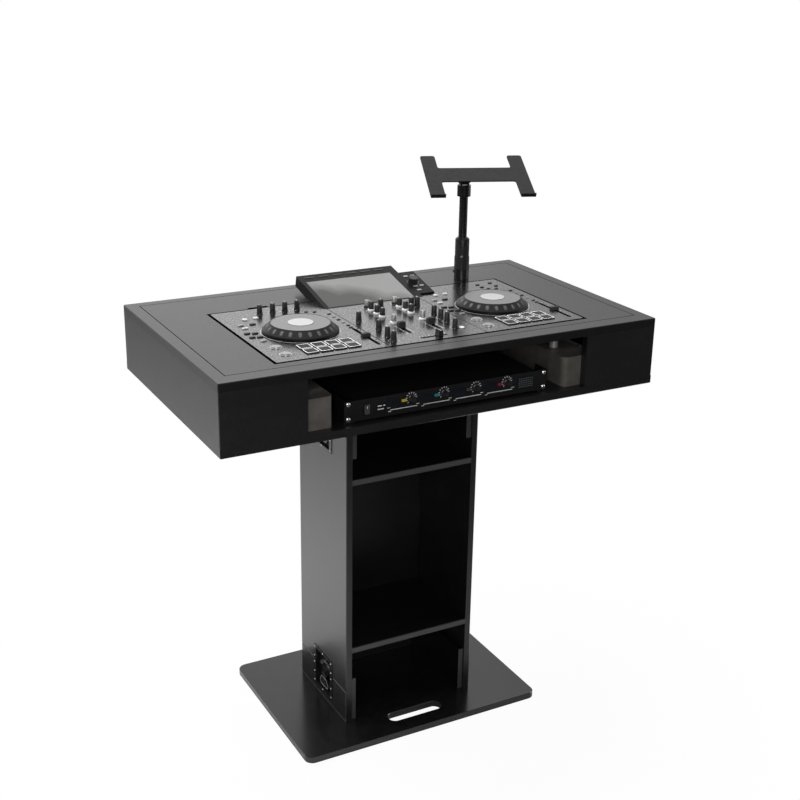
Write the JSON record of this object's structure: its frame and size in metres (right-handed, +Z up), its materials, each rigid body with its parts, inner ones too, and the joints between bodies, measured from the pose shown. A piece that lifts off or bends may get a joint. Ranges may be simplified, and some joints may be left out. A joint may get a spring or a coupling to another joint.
{
  "type": "dj booth",
  "caption": "Free-standing DJ booth: base plate, latched hollow column and box table with a flush two-deck controller, rack receiver bay and pole stand for a laptop.",
  "frame": {"origin": "on the floor, under the middle of the table", "axes": "+X to the right seen from the open front, +Y to the back, +Z up"},
  "size_m": [1.02, 0.594, 1.2408],
  "materials": {
    "black_board": "matt black laminate on board",
    "foot_rubber": "matt",
    "block_grey": "matt dark grey paint",
    "latch_black": "black powder coat",
    "rack_black": "fine black texture",
    "pole_black": "satin black",
    "deck_silver": "brushed",
    "case_black": "fine texture",
    "foot_silver": "turned",
    "screen_glass": "polished dark",
    "control_black": "soft touch",
    "jog_grey": "satin",
    "pad_rubber": "matt silicone",
    "key_grey": "satin"
  },
  "bodies": {
    "booth": {"base_plate": "black_board", "base_feet": "foot_rubber", "cheek_boards": "black_board", "locating_tongues": "black_board", "column_sides": "black_board", "column_back": "black_board", "column_shelves": "black_board", "latch_plates": "latch_black", "table_floor": "black_board", "table_walls": "black_board", "table_top_frame": "black_board", "lid_panel": "black_board", "support_blocks": "block_grey", "rack_rails": "rack_black", "receiver_panel": "rack_black", "receiver_chassis": "rack_black", "stand_tube": "pole_black", "controller_plate": "deck_silver", "controller_case": "case_black", "controller_feet": "foot_silver", "screen_housing": "case_black", "screen_glass": "screen_glass", "panel_knobs": "control_black", "deck_buttons": "key_grey"},
    "latch_hook_lower_left": {"latch_hook_lower_left": "latch_black"},
    "latch_wing_lower_left": {"latch_wing_lower_left": "latch_black"},
    "latch_hook_upper_left": {"latch_hook_upper_left": "latch_black"},
    "latch_wing_upper_left": {"latch_wing_upper_left": "latch_black"},
    "latch_hook_lower_right": {"latch_hook_lower_right": "latch_black"},
    "latch_wing_lower_right": {"latch_wing_lower_right": "latch_black"},
    "latch_hook_upper_right": {"latch_hook_upper_right": "latch_black"},
    "latch_wing_upper_right": {"latch_wing_upper_right": "latch_black"},
    "stand_clutch": {"stand_clutch": "pole_black"},
    "stand_rod": {"stand_rod": "pole_black"},
    "stand_head": {"stand_head": "pole_black"},
    "laptop_tray": {"laptop_tray": "pole_black"},
    "jog_wheel_left": {"jog_wheel_left": "jog_grey"},
    "jog_wheel_right": {"jog_wheel_right": "jog_grey"},
    "tempo_slider_left": {"tempo_slider_left": "control_black"},
    "tempo_slider_right": {"tempo_slider_right": "control_black"},
    "channel_fader_left": {"channel_fader_left": "control_black"},
    "channel_fader_right": {"channel_fader_right": "control_black"},
    "crossfader": {"crossfader": "control_black"},
    "browse_knob": {"browse_knob": "control_black"},
    "knob_high_left": {"knob_high_left": "control_black"},
    "knob_middle_left": {"knob_middle_left": "control_black"},
    "knob_low_left": {"knob_low_left": "control_black"},
    "knob_filter_left": {"knob_filter_left": "control_black"},
    "knob_high_right": {"knob_high_right": "control_black"},
    "knob_middle_right": {"knob_middle_right": "control_black"},
    "knob_low_right": {"knob_low_right": "control_black"},
    "knob_filter_right": {"knob_filter_right": "control_black"},
    "receiver_knob_1": {"receiver_knob_1": "control_black"},
    "receiver_knob_2": {"receiver_knob_2": "control_black"},
    "receiver_knob_3": {"receiver_knob_3": "control_black"},
    "receiver_knob_4": {"receiver_knob_4": "control_black"},
    "pads_left": {"pads_left": "pad_rubber"},
    "play_keys_left": {"play_keys_left": "key_grey"},
    "pads_right": {"pads_right": "pad_rubber"},
    "play_keys_right": {"play_keys_right": "key_grey"}
  },
  "joints": [
    {"name": "lower_left_latch_turn", "type": "hinge", "parent": "booth", "child": "latch_hook_lower_left", "pos_m": [-0.165, -0.0055, 0.074], "axis": [-1, 0, 0], "range_deg": [0, 180]},
    {"name": "lower_left_wing_fold", "type": "hinge", "parent": "latch_hook_lower_left", "child": "latch_wing_lower_left", "pos_m": [-0.16175, -0.0055, 0.074], "axis": [0, 1, 0], "range_deg": [0, 90]},
    {"name": "upper_left_latch_turn", "type": "hinge", "parent": "booth", "child": "latch_hook_upper_left", "pos_m": [-0.165, -0.0055, 0.706], "axis": [-1, 0, 0], "range_deg": [0, 180]},
    {"name": "upper_left_wing_fold", "type": "hinge", "parent": "latch_hook_upper_left", "child": "latch_wing_upper_left", "pos_m": [-0.16175, -0.0055, 0.706], "axis": [0, 1, 0], "range_deg": [0, 90]},
    {"name": "lower_right_latch_turn", "type": "hinge", "parent": "booth", "child": "latch_hook_lower_right", "pos_m": [0.165, -0.0055, 0.074], "axis": [1, 0, 0], "range_deg": [0, 180]},
    {"name": "lower_right_wing_fold", "type": "hinge", "parent": "latch_hook_lower_right", "child": "latch_wing_lower_right", "pos_m": [0.16175, -0.0055, 0.074], "axis": [0, -1, 0], "range_deg": [0, 90]},
    {"name": "upper_right_latch_turn", "type": "hinge", "parent": "booth", "child": "latch_hook_upper_right", "pos_m": [0.165, -0.0055, 0.706], "axis": [1, 0, 0], "range_deg": [0, 180]},
    {"name": "upper_right_wing_fold", "type": "hinge", "parent": "latch_hook_upper_right", "child": "latch_wing_upper_right", "pos_m": [0.16175, -0.0055, 0.706], "axis": [0, -1, 0], "range_deg": [0, 90]},
    {"name": "clutch_twist", "type": "hinge", "parent": "booth", "child": "stand_clutch", "pos_m": [0.288, 0.168, 1.02], "axis": [0, 0, 1], "range_deg": [-90, 90]},
    {"name": "rod_slide", "type": "slide", "parent": "booth", "child": "stand_rod", "axis": [0, 0, 1], "range_m": [-0.085, 0.05]},
    {"name": "head_swivel", "type": "hinge", "parent": "stand_rod", "child": "stand_head", "pos_m": [0.288, 0.168, 1.172], "axis": [0, 0, 1], "continuous": true},
    {"name": "tray_tilt", "type": "hinge", "parent": "stand_head", "child": "laptop_tray", "pos_m": [0.288, 0.168, 1.1953], "axis": [0.9397, -0.342, 0], "range_deg": [-20, 35]},
    {"name": "jog_spin_left", "type": "hinge", "parent": "booth", "child": "jog_wheel_left", "pos_m": [-0.236, -0.056, 0.9545], "axis": [0, 0, 1], "continuous": true},
    {"name": "jog_spin_right", "type": "hinge", "parent": "booth", "child": "jog_wheel_right", "pos_m": [0.236, -0.056, 0.9545], "axis": [0, 0, 1], "continuous": true},
    {"name": "tempo_left", "type": "slide", "parent": "booth", "child": "tempo_slider_left", "axis": [0, 1, 0], "range_m": [-0.056, 0.056]},
    {"name": "tempo_right", "type": "slide", "parent": "booth", "child": "tempo_slider_right", "axis": [0, 1, 0], "range_m": [-0.056, 0.056]},
    {"name": "fader_left", "type": "slide", "parent": "booth", "child": "channel_fader_left", "axis": [0, 1, 0], "range_m": [-0.0375, 0.0105]},
    {"name": "fader_right", "type": "slide", "parent": "booth", "child": "channel_fader_right", "axis": [0, 1, 0], "range_m": [-0.0375, 0.0105]},
    {"name": "crossfade", "type": "slide", "parent": "booth", "child": "crossfader", "axis": [1, 0, 0], "range_m": [-0.0375, 0.0135]},
    {"name": "browse_turn", "type": "hinge", "parent": "booth", "child": "browse_knob", "pos_m": [0.14, 0.14208, 0.97106], "axis": [0, -0.2284, 0.9736], "continuous": true},
    {"name": "high_turn_left", "type": "hinge", "parent": "booth", "child": "knob_high_left", "pos_m": [-0.0325, 0.0186, 0.9545], "axis": [0, 0, 1], "range_deg": [-150, 150]},
    {"name": "middle_turn_left", "type": "hinge", "parent": "booth", "child": "knob_middle_left", "pos_m": [-0.0325, -0.01018, 0.9545], "axis": [0, 0, 1], "range_deg": [-150, 150]},
    {"name": "low_turn_left", "type": "hinge", "parent": "booth", "child": "knob_low_left", "pos_m": [-0.0325, -0.03601, 0.9545], "axis": [0, 0, 1], "range_deg": [-150, 150]},
    {"name": "filter_turn_left", "type": "hinge", "parent": "booth", "child": "knob_filter_left", "pos_m": [-0.0325, -0.08915, 0.9545], "axis": [0, 0, 1], "range_deg": [-150, 150]},
    {"name": "high_turn_right", "type": "hinge", "parent": "booth", "child": "knob_high_right", "pos_m": [0.0385, 0.0186, 0.9545], "axis": [0, 0, 1], "range_deg": [-150, 150]},
    {"name": "middle_turn_right", "type": "hinge", "parent": "booth", "child": "knob_middle_right", "pos_m": [0.0385, -0.01018, 0.9545], "axis": [0, 0, 1], "range_deg": [-150, 150]},
    {"name": "low_turn_right", "type": "hinge", "parent": "booth", "child": "knob_low_right", "pos_m": [0.0385, -0.03601, 0.9545], "axis": [0, 0, 1], "range_deg": [-150, 150]},
    {"name": "filter_turn_right", "type": "hinge", "parent": "booth", "child": "knob_filter_right", "pos_m": [0.0385, -0.08915, 0.9545], "axis": [0, 0, 1], "range_deg": [-150, 150]},
    {"name": "gain_turn_1", "type": "hinge", "parent": "booth", "child": "receiver_knob_1", "pos_m": [-0.09, -0.277, 0.855], "axis": [0, -1, 0], "range_deg": [-150, 150]},
    {"name": "gain_turn_2", "type": "hinge", "parent": "booth", "child": "receiver_knob_2", "pos_m": [-0.0135, -0.277, 0.855], "axis": [0, -1, 0], "range_deg": [-150, 150]},
    {"name": "gain_turn_3", "type": "hinge", "parent": "booth", "child": "receiver_knob_3", "pos_m": [0.063, -0.277, 0.855], "axis": [0, -1, 0], "range_deg": [-150, 150]},
    {"name": "gain_turn_4", "type": "hinge", "parent": "booth", "child": "receiver_knob_4", "pos_m": [0.1395, -0.277, 0.855], "axis": [0, -1, 0], "range_deg": [-150, 150]},
    {"name": "pads_press_left", "type": "slide", "parent": "booth", "child": "pads_left", "axis": [0, 0, -1], "range_m": [0, 0.001], "stiffness_N_per_m": 2000, "springref_m": -0.001},
    {"name": "keys_press_left", "type": "slide", "parent": "booth", "child": "play_keys_left", "axis": [0, 0, -1], "range_m": [0, 0.001], "stiffness_N_per_m": 1000, "springref_m": -0.001},
    {"name": "pads_press_right", "type": "slide", "parent": "booth", "child": "pads_right", "axis": [0, 0, -1], "range_m": [0, 0.001], "stiffness_N_per_m": 2000, "springref_m": -0.001},
    {"name": "keys_press_right", "type": "slide", "parent": "booth", "child": "play_keys_right", "axis": [0, 0, -1], "range_m": [0, 0.001], "stiffness_N_per_m": 1000, "springref_m": -0.001}
  ]
}
